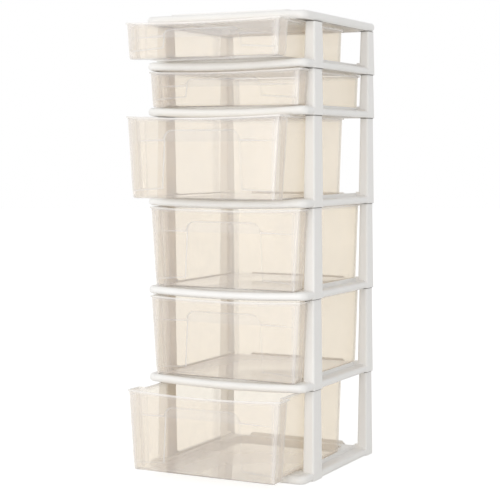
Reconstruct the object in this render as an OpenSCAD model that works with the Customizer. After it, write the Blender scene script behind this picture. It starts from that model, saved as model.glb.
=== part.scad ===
// Six-tier plastic drawer tower.
// Six stacked frames, each a rail ring moulded in one piece with four corner
// posts, a top cover, and six drawers that slide out to the front (-Y).
// The tower is laid out with Y = 0 at the faces of the front posts and Z = 0 on
// the floor, then moved so that the middle of its footprint is the origin.

/* [Tower] */
// Outside width of the stacked frames
tower_w = 361; // [345:1:400]
// Depth from the faces of the front posts to the back of the frames
frame_d = 312; // [280:1:360]
// How far the front rails and the drawer fronts stand ahead of the posts
nose_d = 44; // [38:1:56]
// Height of one large tier, from seam to seam
large_pitch = 182; // [160:1:230]
// Height of one small tier, from seam to seam
small_pitch = 92; // [84:1:120]
// Plastic thickness of the frames and the cover
frame_wall = 2.5; // [2:0.1:3]

/* [Rings] */
// Height of the rounded bead along the sides and the back
bead_h = 14.5; // [12:0.5:16]
// Height of the roll along the front
roll_h = 17; // [15:0.5:20]
// How far the front roll sags at mid-width
roll_dip = 4.5; // [2:0.5:6]
// Plan radius of the front corners
front_corner_r = 20; // [18:1:26]
// Plan radius of the back corners
back_corner_r = 10; // [9:1:16]
// How far the guide lip rises above the drawer's underside
lip_rise = 4; // [3:0.5:8]
// Thickness of the guide lip
lip_t = 2.5; // [2:0.5:4]
// Width of the shelf that carries the edge of a drawer
shelf_w = 21; // [14:1:30]
// Plan radius inside the ring
ring_hole_r = 24; // [10:1:40]
// Width of the raised stop on the back rail
stop_w = 220; // [160:1:240]
// Thickness of the raised stop on the back rail
stop_t = 3; // [2:0.5:4]

/* [Posts] */
// Width of a front post at its top
front_post_w = 21; // [18:0.5:24]
// Depth of a front post at its top
front_post_d = 39; // [32:1:48]
// Width of a back post at its top
back_post_w = 18.5; // [16:0.5:21]
// Depth of a back post at its top
back_post_d = 31; // [26:1:38]
// How much each face of a post flares out at the foot
post_flare = 2.3; // [1:0.1:3]
// Rounding of the upright edges of a post
post_edge_r = 4; // [2:0.5:5]
// Radius of the fillets where a post meets the rails
foot_fillet_r = 11; // [6:1:16]
// Height of the shadow groove round the top of a post
seam_h = 1.2; // [0.6:0.2:2]
// Depth of the shadow groove
seam_in = 1; // [0.6:0.2:1.6]
// Height of the spigot that plugs into the frame above
spigot_h = 12; // [8:1:14]
// Clearance round a spigot
spigot_gap = 0.3; // [0.2:0.1:0.6]

/* [Cover] */
// Height of the top cover
cover_h = 21; // [18:1:30]
// Height of the raised panel on the cover
panel_rise = 3.5; // [2:0.5:6]
// Width of the border round the raised panel, at the sides
panel_side = 48; // [30:1:70]
// Width of the border round the raised panel, front and back
panel_end = 16; // [12:1:40]
// How far the cover stands out past the frames
cover_lap = 1; // [0.5:0.5:3]

/* [Drawers] */
// Wall thickness of a drawer
drawer_wall = 1.8; // [1.4:0.1:2.4]
// Width of the rim round the top of a drawer
rim_w = 3; // [2:0.5:4]
// Height of the rim
rim_h = 3.5; // [2:0.5:6]
// Rounding of the upright corners of a drawer's tub
tub_r = 9; // [7:0.5:11]
// Rounding of the lower edges of the tub
sole_r = 6; // [4:0.5:6.5]
// Rounding of the upright corners of a drawer's front
face_r = 4; // [3.5:0.5:4]
// Rounding of the lower edges of the front
heel_r = 2.5; // [2.2:0.3:2.8]
// How far the drawer front stops short of the tower's side at each end
face_inset = 9.5; // [7:0.5:14]
// Slant of the drawer front's ends, in degrees
face_draft = 4; // [1:0.5:5]
// Slant of the drawer's side and back walls, in degrees
body_draft = 1.5; // [0.5:0.5:2]
// How far the upper band of a drawer front bows forward
band_bow = 6; // [3:0.5:9]
// Height of the upper band on a large drawer
large_band_h = 50; // [44:1:66]
// Height of the upper band on a small drawer
small_band_h = 32; // [28:1:36]
// Rise of the finger arch above the band's lower edge on a large drawer
large_arch_h = 21; // [16:1:30]
// Rise of the finger arch above the band's lower edge on a small drawer
small_arch_h = 14; // [12:1:18]
// Height of the slope that leads up to the band
shoulder_h = 9; // [6:1:12]
// Width of the finger panel
grip_w = 164; // [120:1:190]
// How much wider the finger panel gets towards the drawer's foot, at each side
grip_splay = 6; // [0:1:10]
// Depth of the finger arch at its crown
crown_d = 4; // [3:0.5:6]
// Radius of the arch's shoulders, as a share of the arch's rise
arch_round = 0.9; // [0.5:0.05:1]
// How far the side panels stand ahead of the finger panel and the foot
side_step = 2.5; // [1.5:0.5:4]
// Height of the foot below the side panels, beside the finger panel
foot_h = 20; // [12:1:26]
// How far the side panels' lower edges drop towards the sides
foot_drop = 6; // [0:1:8]
// How far the open drawers are pulled out
pulled_out = 90; // [0:1:200]

/* [Clearances] */
// Gap under a drawer where it rests on the shelf
rest_gap = 0.3; // [0.2:0.1:0.5]
// Gap between the top of the front roll and a drawer's underside
roll_gap = 0.5; // [0.4:0.1:1]
// Gap between a drawer's rim and the frame above it
head_gap = 2; // [1.5:0.5:6]
// Gap between a drawer's rim and the posts on each side
post_gap = 0.7; // [0.5:0.1:1.5]
// Gap between a drawer's side wall and the guide lip
lip_gap = 2; // [1:0.5:3]
// Gap between the back of a drawer front and the front posts
face_gap = 0.3; // [0.2:0.1:0.5]
// Gap between a drawer's back rim and the raised stop
back_gap = 1; // [0.5:0.5:3]

/* [Hidden] */

round_fn = 64;  // segments of a full circle
hull_fn = 32;   // segments of the round corners inside a hull
sag_fn = 900;   // segments of the shallow arcs, as if they were whole circles
over = 1;       // how far a cut runs past the face it opens
$fn = round_fn;

frame_colour = [0.93, 0.93, 0.92];
drawer_colour = [0.95, 0.90, 0.82, 0.5];

// Tiers are counted from the top: 1 and 2 are small, 3 to 6 are large.
tier_count = 6;
small_tiers = 2;
pitches = [for (i = [1:tier_count]) i <= small_tiers ? small_pitch : large_pitch];
opened = [1, 3, 6];
function stack(from) = from > tier_count ? 0 : pitches[from - 1] + stack(from + 1);
function tier_z(i) = stack(i + 1);
function is_open(i) = len([for (k = opened) if (k == i) k]) > 0;

half_w = tower_w / 2;
bead_r = bead_h / 2;
roll_r = roll_h / 2;
roll_lift = 0.5;                            // underside of the roll's ends above the seam
roll_end_z = roll_lift + roll_r;            // axis of the roll at its ends
roll_top = roll_lift + roll_h;
drawer_z = roll_top + roll_gap;             // underside of a drawer in its tier
shelf_z = drawer_z - rest_gap;
lip_z = drawer_z + lip_rise;

front_foot_w = front_post_w + 2 * post_flare;
front_foot_d = front_post_d + 2 * post_flare;
back_foot_w = back_post_w + 2 * post_flare;
back_foot_d = back_post_d + 2 * post_flare;

widest = half_w - max(front_foot_w, back_foot_w) - post_gap;   // half width at the tallest rim
face_half = half_w - face_inset;
stop_y = frame_d - bead_r + stop_t;         // back of the raised stop
rim_back = stop_y - stop_t - back_gap;
body_slope = tan(body_draft);
face_slope = tan(face_draft);

// Every drawer has the same floor, and widens upwards by its draft.
function drawer_top(i) = pitches[i - 1] - head_gap;
tallest = max(pitches) - head_gap - drawer_z;
sole_half = widest - rim_w - tallest * body_slope;
function body_half(i) = sole_half + (drawer_top(i) - drawer_z) * body_slope;

lip_in = sole_half + lip_rise * body_slope + lip_gap;
lip_out = lip_in + lip_t;
hole_half = lip_in - shelf_w;               // half the width of the hole in a ring
hole_front = -nose_d + roll_h + frame_wall;
hole_back = frame_d - back_foot_d + frame_wall;

// Radius of a shallow arc that rises by rise over its half width
function arc_radius(half, rise) = (pow(half, 2) + pow(rise, 2)) / (2 * rise);
sag_half = half_w - front_corner_r;         // the front roll sags between its corners
sag_r = arc_radius(sag_half, roll_dip);
// The upper bands bow forward between the rounded ends of the drawer front.
band_half = face_half - rim_w - face_r - over - max(large_band_h, small_band_h) * face_slope;
bow_r = arc_radius(band_half, band_bow);
model_y = (nose_d + band_bow + pulled_out - frame_d - cover_lap) / 2;

// ---- shapes shared by the parts ----

// Flat rounded rectangle, half wide each way in X, from y0 to y1
module slab2d(half, y0, y1, r) {
    translate([-half + r, y0]) square([2 * (half - r), y1 - y0]);
    translate([-half, y0 + r]) square([2 * half, y1 - y0 - 2 * r]);
    for (s = [-1, 1], y = [y0 + r, y1 - r]) translate([s * (half - r), y]) circle(r = r);
}

// Prism along X, drawn as [Y, Z] points
module prism_x(half, points) {
    translate([-half, 0, 0]) rotate([90, 0, 90]) linear_extrude(2 * half) polygon(points);
}

// Prism along Y from y0 to y1, whose children are drawn in [X, Z]
module prism_y(y0, y1) {
    translate([0, y1, 0]) rotate([90, 0, 0]) linear_extrude(y1 - y0) children();
}

// Straight rod along Y
module rod_y(x, y0, y1, z, r) {
    translate([x, y0, z]) rotate([-90, 0, 0]) cylinder(r = r, h = y1 - y0);
}

// Quarter bend of a rod, round a corner centre, from angle to angle + 90
module bend(x, y, z, corner_r, r, angle) {
    translate([x, y, z]) rotate([0, 0, angle]) rotate_extrude(angle = 90) intersection() {
        translate([corner_r - r, 0]) circle(r = r);
        translate([0, -corner_r]) square([corner_r + over, 2 * corner_r]);
    }
}

// ---- frames ----

// Post that flares towards its foot, with its foot's corner at [x0, y0]
module post(x0, y0, w, d, h) {
    r = post_edge_r;
    hull() {
        for (x = [r, w + 2 * post_flare - r], y = [r, d + 2 * post_flare - r])
            translate([x0 + x, y0 + y, 0]) cylinder(r = r, h = over, $fn = hull_fn);
        for (x = [r, w - r], y = [r, d - r])
            translate([x0 + post_flare + x, y0 + post_flare + y, h - over])
                cylinder(r = r, h = over, $fn = hull_fn);
    }
}

// Straight-sided block, from the corner of a post's foot, inset on every side
module post_core(x0, y0, w, d, inset, z0, z1) {
    translate([x0 + inset, y0 + inset, z0])
        cube([w + 2 * post_flare - 2 * inset, d + 2 * post_flare - 2 * inset, z1 - z0]);
}

core_inset = post_flare + frame_wall;       // hollow of a post, inside its foot
spigot_inset = core_inset + spigot_gap;

// Draws its children on the right, and mirrored on the left
module both_sides() {
    for (s = [0, 1]) mirror([s, 0, 0]) children();
}

module posts(h) {
    both_sides() {
        post(half_w - front_foot_w, 0, front_post_w, front_post_d, h - seam_h);
        post(half_w - back_foot_w, frame_d - back_foot_d,
             back_post_w, back_post_d, h - seam_h);
    }
    post_cores(post_flare + seam_in, h - seam_h - over, h);
}

module post_cores(inset, z0, z1) {
    both_sides() {
        post_core(half_w - front_foot_w, 0, front_post_w, front_post_d, inset, z0, z1);
        post_core(half_w - back_foot_w, frame_d - back_foot_d,
                  back_post_w, back_post_d, inset, z0, z1);
    }
}

// Concave fillet along X from x0 to x1, rising against a face at y and open towards dir
module fillet_x(x0, x1, y, z, dir) {
    r = foot_fillet_r;
    translate([x0, y, z]) mirror([0, dir > 0 ? 0 : 1, 0]) difference() {
        translate([0, -over, -over]) cube([x1 - x0, r + over, r + over]);
        translate([-over, r, r]) rotate([0, 90, 0]) cylinder(r = r, h = x1 - x0 + 2 * over);
    }
}

// Fillets between the posts and the side rails
module foot_fillets() {
    x0 = lip_out;
    x1 = half_w - bead_r;
    both_sides() {
        fillet_x(x0, x1, front_foot_d - post_flare, bead_h - over, 1);
        fillet_x(x0, x1, frame_d - back_foot_d + post_flare, bead_h - over, -1);
    }
}

// Roll along the front edge. Its middle sags on a shallow arc.
module front_roll(dip) {
    axis_y = -nose_d + roll_r;
    if (dip > 0) {
        sag_a = asin(sag_half / sag_r);
        translate([0, axis_y, roll_end_z - dip + sag_r]) rotate([90, 0, 0])
            rotate([0, 0, -90 - sag_a])
                rotate_extrude(angle = 2 * sag_a, $fn = sag_fn)
                    translate([sag_r, 0]) circle(r = roll_r, $fn = round_fn);
    } else {
        translate([-sag_half, axis_y, roll_end_z]) rotate([0, 90, 0])
            cylinder(r = roll_r, h = 2 * sag_half);
    }
    both_sides() {
        bend(sag_half, -nose_d + front_corner_r, roll_end_z, front_corner_r, roll_r, -90);
        rod_y(half_w - roll_r, -nose_d + front_corner_r, front_foot_d / 2, roll_end_z, roll_r);
    }
}

// Bead along the sides and the back
module bead() {
    both_sides() {
        rod_y(half_w - bead_r, 0, frame_d - back_corner_r, bead_r, bead_r);
        bend(half_w - back_corner_r, frame_d - back_corner_r, bead_r, back_corner_r, bead_r, 0);
    }
    translate([-half_w + back_corner_r, frame_d - bead_r, bead_r]) rotate([0, 90, 0])
        cylinder(r = bead_r, h = 2 * (half_w - back_corner_r));
}

// Lip on each side of the drawer, and the raised stop behind it
module guides() {
    lip_y0 = front_foot_d / 2;
    lip_y1 = frame_d - back_foot_d / 2;
    both_sides() translate([lip_in, lip_y0, 0]) cube([lip_t, lip_y1 - lip_y0, lip_z]);
    rise = lip_z - bead_h;
    prism_y(stop_y - stop_t, stop_y)
        polygon([[-stop_w / 2 - rise, bead_r], [stop_w / 2 + rise, bead_r],
                 [stop_w / 2 + rise, bead_h], [stop_w / 2, lip_z],
                 [-stop_w / 2, lip_z], [-stop_w / 2 - rise, bead_h]]);
}

// Flat part of the ring: bead level all round, with the shelf and the front pads higher
module deck() {
    linear_extrude(bead_h)
        slab2d(half_w - bead_r, -nose_d + front_corner_r, frame_d - bead_r,
               back_corner_r - bead_r + over);
    linear_extrude(shelf_z)
        translate([-lip_out, 0]) square([2 * lip_out, hole_back + shelf_w / 2]);
    translate([0, 0, roll_lift + over]) linear_extrude(roll_top - roll_lift - over)
        slab2d(half_w - roll_r, -nose_d + front_corner_r - over, front_foot_d / 2, over);
}

// Front rail behind the roll, which follows the sag
module front_rail(dip) {
    y0 = -nose_d + roll_r;
    translate([-sag_half, y0, roll_end_z - dip - roll_r / 2])
        cube([2 * sag_half, hole_front - y0, roll_r]);
}

// Hollow underside of the rails
module troughs() {
    top = bead_h - frame_wall;
    side_y0 = front_foot_d + frame_wall;
    side_y1 = frame_d - back_foot_d - frame_wall;
    both_sides() {
        x0 = hole_half + frame_wall;
        translate([x0, side_y0, -over])
            cube([half_w - bead_r - x0, side_y1 - side_y0, top + over]);
        front_y0 = -nose_d + front_corner_r;
        translate([x0, front_y0, -over])
            cube([half_w - roll_h - x0, -frame_wall - front_y0, top + over]);
    }
    back_half = half_w - back_foot_w - frame_wall;
    back_y0 = hole_back + frame_wall;
    translate([-back_half, back_y0, -over])
        cube([2 * back_half, frame_d - bead_r - back_y0, top + over]);
}

module ring_hole() {
    translate([0, 0, -2 * roll_h]) linear_extrude(4 * roll_h)
        slab2d(hole_half, hole_front, hole_back, ring_hole_r);
}

// One frame: ring and posts in one moulding, hollow posts that take the spigots below
module frame(i) {
    h = pitches[i - 1];
    dip = i == tier_count ? 0 : roll_dip;   // the lowest frame lies flat on the floor
    color(frame_colour)
    translate([0, model_y, tier_z(i)]) {
        difference() {
            union() {
                difference() {
                    union() {
                        deck();
                        front_rail(dip);
                        front_roll(dip);
                        bead();
                        guides();
                    }
                    ring_hole();
                    troughs();
                }
                posts(h);
                foot_fillets();
            }
            post_cores(core_inset, -over, h - frame_wall);
        }
        post_cores(spigot_inset, h - frame_wall / 2, h + spigot_h);
    }
}

// ---- cover ----

module cover_edge() {
    r = (cover_h - panel_rise) / 2;
    y0 = -nose_d - cover_lap;
    y1 = frame_d + cover_lap;
    half = half_w + cover_lap;
    front_r = front_corner_r + cover_lap;
    back_r = back_corner_r + cover_lap;
    linear_extrude(2 * r) slab2d(half - r, y0 + r, y1 - r, back_r - r + over);
    for (y = [y0 + r, y1 - r]) {
        corner = y < 0 ? front_r : back_r;
        translate([-half + corner, y, r]) rotate([0, 90, 0])
            cylinder(r = r, h = 2 * (half - corner));
    }
    both_sides() {
        rod_y(half - r, y0 + front_r, y1 - back_r, r, r);
        bend(half - front_r, y0 + front_r, r, front_r, r, -90);
        bend(half - back_r, y1 - back_r, r, back_r, r, 0);
    }
}

module top_cover() {
    top = cover_h - panel_rise;
    color(frame_colour)
    translate([0, model_y, stack(1)]) difference() {
        union() {
            cover_edge();
            linear_extrude(cover_h)
                slab2d(half_w - panel_side, -nose_d + panel_end, frame_d - panel_end, panel_end);
        }
        // hollow underside: between the rows of posts, under the panel, and behind the sides
        translate([0, 0, -over]) linear_extrude(top - frame_wall + over) {
            slab2d(half_w - front_foot_w - frame_wall, -nose_d + roll_h,
                   frame_d - bead_h, panel_end);
            slab2d(half_w + cover_lap - top / 2, front_foot_d + frame_wall,
                   frame_d - back_foot_d - frame_wall, frame_wall);
        }
        translate([0, 0, -over]) linear_extrude(cover_h - frame_wall + over)
            slab2d(half_w - panel_side - frame_wall, -nose_d + panel_end + frame_wall,
                   frame_d - panel_end - frame_wall, panel_end - frame_wall);
        post_cores(core_inset, -over, top - frame_wall);
    }
}

// ---- drawers ----

// Round foot of a box corner: radius r in plan, with its lower edge rounded
module foot(r, edge_r) {
    steps = 5;
    arc = [for (k = [0:steps]) let (a = 90 * k / steps)
           [r - edge_r + edge_r * sin(a), edge_r * (1 - cos(a))]];
    rotate_extrude($fn = hull_fn) polygon(concat([[0, 0]], arc, [[0, edge_r]]));
}

// Box that narrows downwards, with round corners. half is its half width at z1.
module tub(half, slope, y0, y1, back_slope, z0, z1, r, edge_r) {
    fall = z1 - z0;
    hull() {
        for (s = [-1, 1]) {
            for (y = [y0 + r, y1 - r - fall * back_slope])
                translate([s * (half - r - fall * slope), y, z0]) foot(r, edge_r);
            for (y = [y0 + r, y1 - r])
                translate([s * (half - r), y, z1 - over])
                    cylinder(r = r, h = over, $fn = hull_fn);
        }
    }
}

// The T-shaped box of drawer i, shrunk by a skin on all sides and carried up to z1
module tee(i, skin, z1) {
    rise = z1 - drawer_top(i);
    face_back = -face_gap - rim_w;
    tub(face_half - rim_w - skin + rise * face_slope, face_slope,
        -nose_d + skin, face_back - skin, 0, drawer_z + skin, z1, face_r - skin, heel_r - skin);
    tub(body_half(i) - skin + rise * body_slope, body_slope,
        -nose_d + roll_h + skin, rim_back - rim_w - skin + rise * body_slope, body_slope,
        drawer_z + skin, z1, tub_r - skin, sole_r - skin);
}

// Upper band of the front, bowed forward above a slope that starts at z_band
module band(skin, z_band, z1) {
    front = -nose_d - band_bow;
    intersection() {
        translate([0, front + bow_r, 0]) cylinder(r = bow_r - skin, h = z1, $fn = sag_fn);
        prism_x(band_half + over,
                [[-nose_d + tub_r, z_band], [-nose_d + skin, z_band + skin],
                 [front + skin, z_band + skin + shoulder_h], [front + skin, z1],
                 [-nose_d + tub_r, z1]]);
    }
}

// Finger panel: level with the foot below the band, and leaning forward under its arch
module grip(skin, z_band, arch_h) {
    half = grip_w / 2 + skin;
    foot_half = half + grip_splay;
    r = arch_h * arch_round + skin;
    top = z_band + arch_h + skin;
    front = -nose_d - band_bow - over;
    floor_y = -nose_d + side_step + skin;
    crown_y = -nose_d - band_bow + crown_d + skin;
    intersection() {
        prism_y(front, floor_y) {
            polygon([[-foot_half, 0], [foot_half, 0], [half, top - r], [-half, top - r]]);
            translate([-half + r, z_band]) square([2 * (half - r), top - z_band]);
            for (s = [-1, 1]) translate([s * (half - r), top - r]) circle(r = r);
        }
        prism_x(foot_half, [[front, 0], [floor_y, 0], [floor_y, z_band], [crown_y, top],
                            [front, top]]);
    }
}

// Foot of the front below the side panels, which stand ahead of it
module front_foot(skin) {
    inner = grip_w / 2 - skin;
    high = drawer_z + foot_h + skin;
    both_sides() prism_y(-nose_d - over, -nose_d + side_step + skin)
        polygon([[inner, 0], [face_half, 0], [face_half, high - foot_drop], [inner, high]]);
}

// Room for the sagging roll above a drawer's front, whose ends reach up to z
module roll_room(z) {
    translate([0, -nose_d + roll_h, z - roll_dip + sag_r]) rotate([90, 0, 0])
        cylinder(r = sag_r, h = roll_h + band_bow + over, $fn = sag_fn);
}

module drawer(i) {
    large = i > small_tiers;
    top = drawer_top(i);
    z_band = top - (large ? large_band_h : small_band_h);
    arch_h = large ? large_arch_h : small_arch_h;
    past = top + 2 * rim_h;
    color(drawer_colour)
    translate([0, model_y - (is_open(i) ? pulled_out : 0), tier_z(i)]) difference() {
        union() {
            tee(i, 0, top);
            band(0, z_band, top);
            translate([0, 0, top - rim_h]) linear_extrude(rim_h) {
                slab2d(face_half, -nose_d, -face_gap, face_r);
                slab2d(body_half(i) + rim_w, -nose_d + roll_h, rim_back, tub_r);
            }
        }
        difference() {
            union() {
                tee(i, drawer_wall, past);
                band(drawer_wall, z_band, past);
            }
            grip(drawer_wall, z_band, arch_h);
            front_foot(drawer_wall);
        }
        grip(0, z_band, arch_h);
        front_foot(0);
        roll_room(top);
    }
}

frame(1);  // frame_1
frame(2);  // frame_2
frame(3);  // frame_3
frame(4);  // frame_4
frame(5);  // frame_5
frame(6);  // frame_6
drawer(1);  // drawer_1
drawer(2);  // drawer_2
drawer(3);  // drawer_3
drawer(4);  // drawer_4
drawer(5);  // drawer_5
drawer(6);  // drawer_6
top_cover();
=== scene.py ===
import math

import bmesh
import bpy
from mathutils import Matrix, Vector


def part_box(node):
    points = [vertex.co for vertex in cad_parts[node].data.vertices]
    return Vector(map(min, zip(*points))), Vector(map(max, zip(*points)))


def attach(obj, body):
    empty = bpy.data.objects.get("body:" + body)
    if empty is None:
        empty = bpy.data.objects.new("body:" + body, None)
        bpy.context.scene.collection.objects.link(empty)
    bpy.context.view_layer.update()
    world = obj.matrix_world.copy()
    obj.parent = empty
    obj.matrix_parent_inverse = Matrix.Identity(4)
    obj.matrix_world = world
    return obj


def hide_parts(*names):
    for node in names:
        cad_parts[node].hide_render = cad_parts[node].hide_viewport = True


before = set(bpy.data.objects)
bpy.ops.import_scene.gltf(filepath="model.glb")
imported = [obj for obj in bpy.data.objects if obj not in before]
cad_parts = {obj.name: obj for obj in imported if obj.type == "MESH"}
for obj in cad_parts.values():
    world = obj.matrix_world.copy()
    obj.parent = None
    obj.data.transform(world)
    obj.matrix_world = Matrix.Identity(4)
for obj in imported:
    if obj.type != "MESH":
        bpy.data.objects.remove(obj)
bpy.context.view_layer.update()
scene = bpy.context.scene

# ---------------------------------------------------------------- frames and cover
# Six stackable frames and a top cover, injection moulded in white polypropylene. Each
# frame is a ring of rounded rails with four hollow posts. The moulding is satin, and the
# posts plug into the ring above, where the joint shows as a thin line of painted shade.

MM = 0.001  # sizes are in millimetres
TIERS = 6
SEAMS = (182, 364, 546, 728, 820, 912)  # heights of the joints, the last one under the cover
GROOVE_H = 1.2  # the groove round the top of a post, right below the joint
SHADE_HALF = 0.9  # the painted shade reaches this far up and down from the groove's middle
POSTS_FROM = 155  # the posts start this far from the tower's middle
GRAIN, FLOW = 1.2, 60  # the mould's grain, and the flow lines of the melt
PLASTIC_IOR = 1.49  # polypropylene


def linear(hex_colour):
    """An sRGB hex colour as linear red, green, blue and alpha."""
    channels = [int(hex_colour[i : i + 2], 16) / 255 for i in (0, 2, 4)]
    lit = [c / 12.92 if c <= 0.04045 else ((c + 0.055) / 1.055) ** 2.4 for c in channels]
    return (*lit, 1.0)


def add_node(tree, kind, settings=None, inputs=None, links=None):
    """Adds a node. settings are its properties, inputs its sockets' values, and links the
    sockets that feed it."""
    made = tree.nodes.new(kind)
    for name, value in (settings or {}).items():
        setattr(made, name, value)
    for name, value in (inputs or {}).items():
        made.inputs[name].default_value = value
    for name, source in (links or {}).items():
        tree.links.new(source, made.inputs[name])
    return made


def new_material(name):
    """A material and its node tree, which is still empty."""
    material = bpy.data.materials.new(name)
    material.use_nodes = True
    material.node_tree.nodes.clear()
    return material, material.node_tree


def satin_polypropylene():
    """White polypropylene from a spark-eroded mould: a soft, even sheen with a faint orange
    peel."""
    material, tree = new_material("satin_moulded_polypropylene")
    place = add_node(tree, "ShaderNodeTexCoord").outputs["Object"]
    # the real mould grain is about 0.1 mm and can't show, so it is drawn at 1.2 mm
    grain = add_node(
        tree,
        "ShaderNodeTexNoise",
        inputs={"Scale": 1 / (GRAIN * MM), "Detail": 2.0, "Roughness": 0.6},
        links={"Vector": place},
    )
    # the flow lines of the melt change the sheen and the tone a little
    flow = add_node(
        tree,
        "ShaderNodeTexNoise",
        inputs={"Scale": 1 / (FLOW * MM), "Detail": 3.0, "Distortion": 0.6},
        links={"Vector": place},
    )
    sheen = add_node(
        tree,
        "ShaderNodeMapRange",
        inputs={"From Min": 0.3, "From Max": 0.7, "To Min": 0.34, "To Max": 0.46},
        links={"Value": flow.outputs["Fac"]},
    )
    tone = add_node(tree, "ShaderNodeValToRGB", links={"Fac": flow.outputs["Fac"]})
    tone.color_ramp.elements[0].color = linear("F0EEEB")
    tone.color_ramp.elements[1].color = linear("F7F6F4")
    # painted shade in the groove of each joint, on the posts only
    xyz = add_node(tree, "ShaderNodeSeparateXYZ", links={"Vector": place})
    across = add_node(
        tree, "ShaderNodeMath", settings={"operation": "ABSOLUTE"}, links={0: xyz.outputs["X"]}
    )
    on_post = add_node(
        tree,
        "ShaderNodeMath",
        settings={"operation": "GREATER_THAN"},
        inputs={1: POSTS_FROM * MM},
        links={0: across.outputs["Value"]},
    )
    groove = None
    for seam in SEAMS:
        near = add_node(
            tree,
            "ShaderNodeMath",
            settings={"operation": "COMPARE"},
            inputs={1: (seam - GROOVE_H / 2) * MM, 2: SHADE_HALF * MM},
            links={0: xyz.outputs["Z"]},
        )
        groove = near if groove is None else add_node(
            tree,
            "ShaderNodeMath",
            settings={"operation": "MAXIMUM"},
            links={0: groove.outputs["Value"], 1: near.outputs["Value"]},
        )
    groove_shade = add_node(
        tree,
        "ShaderNodeMath",
        settings={"operation": "MULTIPLY"},
        links={0: groove.outputs["Value"], 1: on_post.outputs["Value"]},
    )
    # painted shade: near each joint the posts are mixed to grey-brown 8E8A85
    colour = add_node(
        tree,
        "ShaderNodeMix",
        settings={"data_type": "RGBA"},
        inputs={7: linear("8E8A85")},
        links={0: groove_shade.outputs["Value"], 6: tone.outputs["Color"]},
    )
    bump = add_node(
        tree,
        "ShaderNodeBump",
        inputs={"Strength": 0.06, "Distance": 0.1 * MM},
        links={"Height": grain.outputs["Fac"]},
    )
    shader = add_node(
        tree,
        "ShaderNodeBsdfPrincipled",
        inputs={"IOR": PLASTIC_IOR},
        links={
            "Base Color": colour.outputs[2],
            "Roughness": sheen.outputs["Result"],
            "Normal": bump.outputs["Normal"],
        },
    )
    add_node(tree, "ShaderNodeOutputMaterial", links={"Surface": shader.outputs["BSDF"]})
    return material


white = satin_polypropylene()
for name in [f"frame_{tier}" for tier in range(1, TIERS + 1)] + ["top_cover"]:
    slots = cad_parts[name].data.materials
    slots.clear()
    slots.append(white)

# ---------------------------------------------------------------- drawers
# Six drawers of clear natural polypropylene, each moulded in one piece: a thin tub that
# narrows to its floor, a wider front that stands ahead of the posts, and a turned-out
# rim. The front has a bowed band, an arched finger hollow and two raised side panels.

SMALL = (1, 2)  # the shallow drawers
WALL = 1.8
RIM_W, RIM_H, RIM_EDGE = 3.0, 3.5, 0.8  # the rim, and the rounding of its edges
RIM_AHEAD = 0.3  # the rim stands less proud at the front, as a share of its width
TUB_R, FACE_R, HOLLOW_R = 9.0, 4.0, 3.5  # plan radii: tub, front, and where they meet
SOLE_R, HEEL_R = 6.0, 2.5  # lower edges of the tub and of the front
FACE_SLOPE = math.tan(math.radians(4))  # draft of the front's ends
BODY_SLOPE = math.tan(math.radians(1.5))  # draft of the tub
SOLE_HALF = 146.96  # half the tub's width at its underside
FRONT_DEPTH = 40.7  # its ends reach this far back, almost to the posts
BAND_H = {True: 32.0, False: 50.0}  # on a small drawer, and on a large one
BAND_BOW, BAND_HALF = 6.0, 159.5
SHOULDER_H, SHOULDER_SOFT = 9.0, 0.6  # the slope up to the band, and its rounding
SAG, SAG_HALF = 4.5, 160.5  # the front's top edge follows the rail above it
ARCH_H = {True: 14.0, False: 21.0}  # on a small drawer, and on a large one
ARCH_ROUND = 0.9  # radius of the arch's shoulders, as a share of its height
GRIP_HALF, GRIP_SPLAY, CROWN_D = 82.0, 6.0, 4.0  # the finger hollow under the arch
SIDE_STEP, FOOT_H, FOOT_DROP = 2.5, 20.0, 6.0  # the foot, set back below the side panels
STEP_RUN = 1.5  # how far a pressed step takes to reach its depth
SLOPE_REACH = 0.4  # a slope is measured this far to each side of its point

# painted highlight: how white and solid an edge is drawn, from 0 for the clear wall to 1
RIM_LIGHT, LIP_LIGHT, CORNER_LIGHT, WING_LIGHT, SOLE_LIGHT = 1.0, 0.4, 0.45, 0.28, 0.06
FLOOR_LIGHT = 0.4  # the flat floor, drawn whiter and more solid as painted light
STEP_LIGHT, STEP_POWER = 0.55, 0.8  # painted highlight on a pressed step, by its slope

FINE, MEDIUM, COARSE = 0.8, 2.0, 5.0  # gaps of the mesh: on steps, above the sole, elsewhere
# the fine mesh reaches this far past the arch's bend, past most edges, and past the foot
BEND_ROOM, EDGE_ROOM, FOOT_ROOM = 2.0, 3.0, 4.0
END_ROOM, RIM_ROOM = 11.0, 1.0  # its lines stop this short of the band's end and of the rim
CORNER_STEPS, HOLLOW_STEPS, TUB_STEPS, SOLE_STEPS = 5, 4, 7, 6  # facets of each bend
WING_STEPS, SIDE_STEPS, BACK_STEPS = 4, 15, 9  # facets of each straight wall


def divide(start, end, count):
    """Evenly spaced values from start up to, but not including, end."""
    return [start + (end - start) * k / count for k in range(count)]


def spread(start, end, gap):
    """Values from start up to, but not including, end that are about a gap apart."""
    return divide(start, end, max(1, round(abs(end - start) / gap)))


def ease(t):
    """0 to 1 with a soft start and end."""
    t = min(1.0, max(0.0, t))
    return t * t * (3 - 2 * t)


def soft_min(a, b, soft):
    """The smaller of two values, rounded where one takes over from the other."""
    return 0.5 * (a + b - math.sqrt((a - b) ** 2 + soft**2))


def arc(cx, cy, r, start, end, steps):
    """Points on a circle from one angle in degrees towards another, without the last."""
    for degrees in divide(start, end, steps):
        a = math.radians(degrees)
        yield cx + r * math.cos(a), cy + r * math.sin(a)


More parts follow.
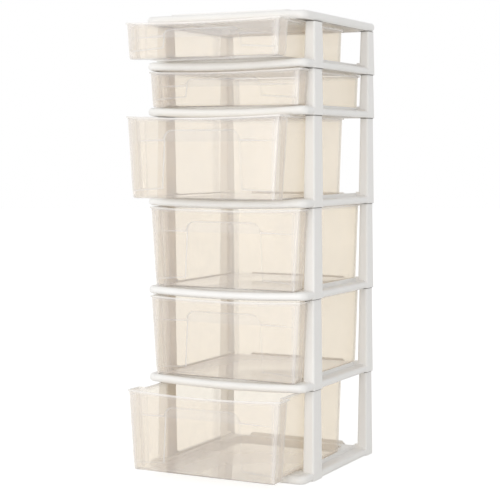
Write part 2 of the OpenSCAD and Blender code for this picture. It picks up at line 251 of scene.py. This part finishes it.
class Drawer:
    """The sizes of one drawer in millimetres, with h counted up from its underside."""

    def __init__(self, number):
        low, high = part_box(f"drawer_{number}")
        self.small = number in SMALL
        self.base = Vector((0.0, low.y + BAND_BOW * MM, low.z))  # under the front's middle
        self.rim_half = high.x / MM
        self.height = (high.z - low.z) / MM
        self.rim_back = (high.y - low.y) / MM - BAND_BOW
        self.band_from = self.height - BAND_H[self.small]
        self.arch_top = self.band_from + ARCH_H[self.small]

    def arch_distance(self, x, h, skin):
        """Distance inside (negative) or outside (positive) the finger hollow's outline."""
        half = GRIP_HALF + skin
        top = self.arch_top + skin
        r = ARCH_H[self.small] * ARCH_ROUND + skin
        x = abs(x)
        if h < top - r:
            return x - (half + GRIP_SPLAY * (top - r - h) / (top - r))
        return math.hypot(max(x - (half - r), 0.0), max(h - (top - r), 0.0)) - r

    def forward(self, x, h, skin):
        """How far the front stands ahead of its side panels. skin grows the hollows on the
        inner wall."""
        bow = (BAND_BOW - RIM_AHEAD * RIM_W) * max(0.0, 1 - (x / BAND_HALF) ** 2)
        rise = BAND_BOW * (h - self.band_from) / SHOULDER_H
        outside = max(0.0, soft_min(bow, rise, SHOULDER_SOFT))
        drop = FOOT_DROP * max(0.0, abs(x) - GRIP_HALF) / (self.rim_half - GRIP_HALF)
        outside -= SIDE_STEP * ease((FOOT_H + skin - drop - h) / STEP_RUN + 0.5)
        lean = max(0.0, h - self.band_from) / (self.arch_top - self.band_from)
        inside = -SIDE_STEP + (SIDE_STEP + BAND_BOW - CROWN_D) * lean
        blend = ease(-self.arch_distance(x, h, skin) / STEP_RUN + 0.5)
        return outside + (min(inside, outside) - outside) * blend

    def slope(self, x, h, skin):
        """How steep the front's relief is: 0 on its level panels, and 1 or more on its steps."""
        d = SLOPE_REACH
        across = self.forward(x + d, h, skin) - self.forward(x - d, h, skin)
        up = self.forward(x, h + d, skin) - self.forward(x, h - d, skin)
        return math.hypot(across, up) / (2 * d)

    def sink(self, x, h):
        """How far a point of the front sinks, to leave room for the sagging rail."""
        share = (h - self.arch_top - EDGE_ROOM) / (self.height - self.arch_top - EDGE_ROOM)
        return SAG * max(0.0, share) * max(0.0, 1 - (x / SAG_HALF) ** 2)

    def columns(self):
        """Where the mesh's upright lines cross the front, from its middle outwards."""
        bend = GRIP_HALF - ARCH_H[self.small] * ARCH_ROUND - BEND_ROOM
        side = GRIP_HALF + GRIP_SPLAY + EDGE_ROOM
        end = BAND_HALF - END_ROOM
        return (
            spread(0, bend, COARSE) + spread(bend, side, FINE) + spread(side, end, COARSE) + [end]
        )

    def rows(self):
        """Heights of the mesh's level lines between the rounded sole and the rim."""
        foot, panel = FOOT_H - FOOT_DROP - EDGE_ROOM, FOOT_H + FOOT_ROOM
        band, arch = self.band_from - EDGE_ROOM, self.arch_top + EDGE_ROOM
        return (
            spread(SOLE_R, foot, MEDIUM)
            + spread(foot, panel, FINE)
            + spread(panel, band, COARSE)
            + spread(band, arch, FINE)
            + spread(arch, self.height - RIM_H - RIM_ROOM, COARSE)
        )

    def outline(self, h, out, skin, edge):
        """Points at height h of the T-shaped outline grown outwards by out, each with its
        share of painted edge highlight. edge is the least such share on this line."""
        fall = self.height - h
        near = out  # the front's lower edges are less rounded than the tub's
        if h < SOLE_R:
            near -= min(0.0, out + skin) * (1 - HEEL_R / SOLE_R)
        ahead = near if near < 0 else RIM_AHEAD * near
        face = self.rim_half - RIM_W - fall * FACE_SLOPE + near
        body = SOLE_HALF + h * BODY_SLOPE + out
        back = self.rim_back - RIM_W - fall * BODY_SLOPE + out
        wing = FRONT_DEPTH + near
        r = FACE_R + min(near, 0.0)
        tub_r = TUB_R + min(out, 0.0)
        hollow = HOLLOW_R - out
        half = []

        def add(points, light=0.0):
            """Adds points at the line's height, with at least this much painted highlight."""
            half.extend((x, y, 0.0, max(edge, light)) for x, y in points)

        for x in self.columns():
            # painted highlight on the steps, by their slope
            lit = max(edge, min(1.0, STEP_LIGHT * self.slope(x, h, skin) ** STEP_POWER))
            half.append((x, -ahead - self.forward(x, h, skin), -self.sink(x, h), lit))
        # round the front's end, where its relief fades out, and back along its wing
        relief = self.forward(face - r, h, skin)
        corner = enumerate(arc(face - r, r - ahead, r, -90, 0, CORNER_STEPS))
        add(((x, y - relief * (1 - k / CORNER_STEPS)) for k, (x, y) in corner), CORNER_LIGHT)
        add(((face, y) for y in divide(r - ahead, wing - r, WING_STEPS)), WING_LIGHT)
        add(arc(face - r, wing - r, r, 0, 90, CORNER_STEPS), CORNER_LIGHT)
        add([(face - r, wing)], WING_LIGHT)
        # into the hollow behind the wing, then along the tub's side and half its back
        add(arc(body + hollow, wing + hollow, hollow, 270, 180, HOLLOW_STEPS), WING_LIGHT)
        add((body, y) for y in divide(wing + hollow, back - tub_r, SIDE_STEPS))
        add(arc(body - tub_r, back - tub_r, tub_r, 0, 90, TUB_STEPS), WING_LIGHT)
        add((x, back) for x in divide(body - tub_r, 0, BACK_STEPS))
        add([(0.0, back)])
        return half + [(-x, y, z, lit) for x, y, z, lit in half[-2:0:-1]]

    def profile(self):
        """Height, outward shift, skin and painted edge highlight of each level line: up the
        outside, over the rim, and down the inside."""

        def sole(k, r, skin):
            """A line of the rounded lower edge, from 0 at the floor up to the wall."""
            a = math.radians(90 * k / SOLE_STEPS)
            # the floor line gets the painted light of FLOOR_LIGHT
            light = SOLE_LIGHT if k else FLOOR_LIGHT
            return skin + r * (1 - math.cos(a)), -skin - r * (1 - math.sin(a)), skin, light

        under, top, lip = self.height - RIM_H, self.height, RIM_EDGE
        walls = self.rows()[1:]
        lines = [sole(k, SOLE_R, 0.0) for k in range(SOLE_STEPS + 1)]
        lines += [(h, 0.0, 0.0, 0.0) for h in walls]
        lines += [(under - lip, 0.0, 0.0, LIP_LIGHT)]
        lines += [(h, out, 0.0, RIM_LIGHT) for h, out in (
            (under - lip / 4, lip / 4),
            (under, lip),
            (under, RIM_W - lip),
            (under + lip / 4, RIM_W - lip / 4),
            (under + lip, RIM_W),
            (top - lip, RIM_W),
            (top - lip / 4, RIM_W - lip / 4),
            (top, RIM_W - lip),
            (top, lip - WALL),
            (top - lip / 4, lip / 4 - WALL),
        )]
        lines += [(top - lip, -WALL, WALL, LIP_LIGHT)]
        lines += [(h, -WALL, WALL, 0.0) for h in reversed(walls)]
        lines += [sole(k, SOLE_R - WALL, WALL) for k in range(SOLE_STEPS, -1, -1)]
        return lines


def drawer_mesh(number):
    """One drawer as a closed shell with an even wall."""
    drawer = Drawer(number)
    mesh = bmesh.new()
    painted_edge_highlight = mesh.verts.layers.float.new("painted_edge_highlight")
    loops = []
    for h, out, skin, edge in drawer.profile():
        loops.append([])
        for x, y, z, lit in drawer.outline(h, out, skin, edge):
            vert = mesh.verts.new(drawer.base + Vector((x, y, h + z)) * MM)
            vert[painted_edge_highlight] = lit
            loops[-1].append(vert)
    for lower, upper in zip(loops, loops[1:]):
        for k in range(len(lower)):
            after = (k + 1) % len(lower)
            mesh.faces.new((lower[k], lower[after], upper[after], upper[k]))
    mesh.faces.new(reversed(loops[0]))
    mesh.faces.new(loops[-1])
    bmesh.ops.recalc_face_normals(mesh, faces=mesh.faces)
    for face in mesh.faces:
        face.smooth = True
    data = bpy.data.meshes.new(f"clear_drawer_{number}")
    mesh.to_mesh(data)
    mesh.free()
    return data


WAVES = 25  # length of the slow waves that the melt leaves
HAZE = (0.145, 0.165)  # how solid one skin of the wall is
EDGE_SOLID = 0.42  # what a full painted edge highlight adds to that


def clear_polypropylene():
    """Natural polypropylene: its fine grains scatter blue light back as a cool milky haze, so
    what passes through turns warm. Light that travels inside the wall leaves it at the rims,
    the steps and the corners; that glow is a painted highlight, drawn as whiter, more solid wall."""
    material, tree = new_material("clear_moulded_polypropylene")
    place = add_node(tree, "ShaderNodeTexCoord").outputs["Object"]
    # the waves bend the highlights and vary the haze a little
    waves = add_node(
        tree,
        "ShaderNodeTexNoise",
        inputs={"Scale": 1 / (WAVES * MM), "Detail": 1.0, "Distortion": 0.4},
        links={"Vector": place},
    )
    bump = add_node(
        tree,
        "ShaderNodeBump",
        inputs={"Strength": 0.06, "Distance": 0.25 * MM},
        links={"Height": waves.outputs["Fac"]},
    )
    haze = add_node(
        tree,
        "ShaderNodeMapRange",
        inputs={"From Min": 0.3, "From Max": 0.7, "To Min": HAZE[0], "To Max": HAZE[1]},
        links={"Value": waves.outputs["Fac"]},
    )
    # a surface seen at a shallow angle, such as a drawer's floor, mirrors more than it lets
    # through
    slant = add_node(tree, "ShaderNodeLayerWeight", inputs={"Blend": 0.5})
    edge_on = add_node(
        tree,
        "ShaderNodeMapRange",
        settings={"interpolation_type": "SMOOTHSTEP"},
        inputs={"From Min": 0.7, "From Max": 0.95, "To Min": 0.0, "To Max": 0.8},
        links={"Value": slant.outputs["Facing"]},
    )
    solid = add_node(
        tree,
        "ShaderNodeMath",
        settings={"operation": "ADD"},
        links={0: haze.outputs["Result"], 1: edge_on.outputs["Result"]},
    )
    # painted highlight: rims, steps and corners are drawn whiter and more solid
    edge = add_node(tree, "ShaderNodeAttribute", settings={"attribute_name": "painted_edge_highlight"})
    alpha = add_node(
        tree,
        "ShaderNodeMath",
        settings={"operation": "MULTIPLY_ADD", "use_clamp": True},
        inputs={1: EDGE_SOLID},
        links={0: edge.outputs["Fac"], 2: solid.outputs["Value"]},
    )
    colour = add_node(
        tree,
        "ShaderNodeMix",
        settings={"data_type": "RGBA"},
        inputs={6: linear("ECECF5"), 7: linear("FAF9F9")},
        links={0: edge.outputs["Fac"]},
    )
    shader = add_node(
        tree,
        "ShaderNodeBsdfPrincipled",
        inputs={
            "Roughness": 0.1,
            "IOR": PLASTIC_IOR,
            "Coat Weight": 1.0,
            "Coat Roughness": 0.05,
        },
        links={"Base Color": colour.outputs[2], "Normal": bump.outputs["Normal"]},
    )
    # a wall is two skins, and each of them tints what shows through it
    through = add_node(tree, "ShaderNodeBsdfTransparent", inputs={"Color": linear("FFFCF6")})
    wall = add_node(
        tree,
        "ShaderNodeMixShader",
        links={0: alpha.outputs["Value"], 1: through.outputs["BSDF"], 2: shader.outputs["BSDF"]},
    )
    add_node(tree, "ShaderNodeOutputMaterial", links={"Surface": wall.outputs["Shader"]})
    return material


clear = clear_polypropylene()
for number in range(1, TIERS + 1):
    tub = bpy.data.objects.new(f"clear_drawer_{number}", drawer_mesh(number))
    scene.collection.objects.link(tub)
    tub.data.materials.append(clear)
    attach(tub, f"drawer_{number}_body")
    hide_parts(f"drawer_{number}")

# ---------------------------------------------------------------- floor, light and camera
# A pale studio floor and a white background, with one broad lamp from the front left, a
# small low one in front, and soft light from all round. The sizes here are in metres.

FLOOR_R, FLOOR_SIDES = 14, 96
GLOW, GLOW_SHARE = 1.3, 0.6  # lifts the floor towards white, for the camera only
ROOM_LIGHT = 0.74  # soft light on the object; the camera and the gloss see full white
LAMPS_AIM = (0, 0, 0.5)
CAMERA_PLACE = (1.3456, -2.6697, 0.6537)
YAW, PITCH = 26.85, 3.856  # degrees that the camera looks to the left and down
LENS, SENSOR_W = 103.76, 36  # in millimetres
SKIN_BOUNCES = 24  # a look through two drawers crosses a dozen skins
WALL_BOUNCES = 8  # light reaches the inside of the tower from wall to wall


def pale_floor():
    """Floor paper that meets the white background and keeps the object's soft shadow."""
    material, tree = new_material("pale_floor_paper")
    paper = add_node(
        tree,
        "ShaderNodeBsdfPrincipled",
        inputs={"Base Color": linear("FBFBFA"), "Roughness": 0.9, "Specular IOR Level": 0.1},
    )
    glow = add_node(
        tree, "ShaderNodeEmission", inputs={"Color": linear("FFFFFF"), "Strength": GLOW}
    )
    view = add_node(tree, "ShaderNodeLightPath")
    share = add_node(
        tree,
        "ShaderNodeMath",
        settings={"operation": "MULTIPLY"},
        inputs={1: GLOW_SHARE},
        links={0: view.outputs["Is Camera Ray"]},
    )
    mix = add_node(
        tree,
        "ShaderNodeMixShader",
        links={0: share.outputs["Value"], 1: paper.outputs["BSDF"], 2: glow.outputs["Emission"]},
    )
    add_node(tree, "ShaderNodeOutputMaterial", links={"Surface": mix.outputs["Shader"]})
    return material


bpy.ops.mesh.primitive_circle_add(
    vertices=FLOOR_SIDES, radius=FLOOR_R, fill_type="NGON", location=(0, 0, 0)
)
floor = bpy.context.object
floor.name = "floor"
floor.data.materials.append(pale_floor())

world = bpy.data.worlds.new("white_studio")
scene.world = world
world.use_nodes = True
sky = world.node_tree
sky.nodes.clear()
rays = add_node(sky, "ShaderNodeLightPath")
seen = add_node(
    sky,
    "ShaderNodeMath",
    settings={"operation": "MAXIMUM"},
    links={0: rays.outputs["Is Camera Ray"], 1: rays.outputs["Is Glossy Ray"]},
)
strength = add_node(
    sky,
    "ShaderNodeMapRange",
    inputs={"To Min": ROOM_LIGHT, "To Max": 1.0},
    links={"Value": seen.outputs["Value"]},
)
backdrop = add_node(
    sky,
    "ShaderNodeBackground",
    inputs={"Color": linear("FFFFFF")},
    links={"Strength": strength.outputs["Result"]},
)
add_node(sky, "ShaderNodeOutputWorld", links={"Surface": backdrop.outputs["Background"]})


def lamp(name, place, size, power):
    """A square soft box that looks at the middle of the tower."""
    light = bpy.data.lights.new(name, "AREA")
    light.size = size
    light.energy = power
    holder = bpy.data.objects.new(name, light)
    holder.location = place
    aim = Vector(LAMPS_AIM) - Vector(place)
    holder.rotation_euler = aim.to_track_quat("-Z", "Y").to_euler()
    scene.collection.objects.link(holder)


lamp("key_light", place=(-1.0, -3.8, 1.5), size=2.4, power=29)
lamp("front_light", place=(0.8, -3.6, 0.55), size=1.0, power=19)

camera = bpy.data.cameras.new("camera")
camera.lens = LENS
camera.sensor_width = SENSOR_W
eye = bpy.data.objects.new("camera", camera)
eye.location = CAMERA_PLACE
eye.rotation_euler = (math.radians(90 - PITCH), 0, math.radians(YAW))
scene.collection.objects.link(eye)
scene.camera = eye
scene.view_settings.view_transform = "Standard"
scene.cycles.transparent_max_bounces = SKIN_BOUNCES
scene.cycles.diffuse_bounces = WALL_BOUNCES
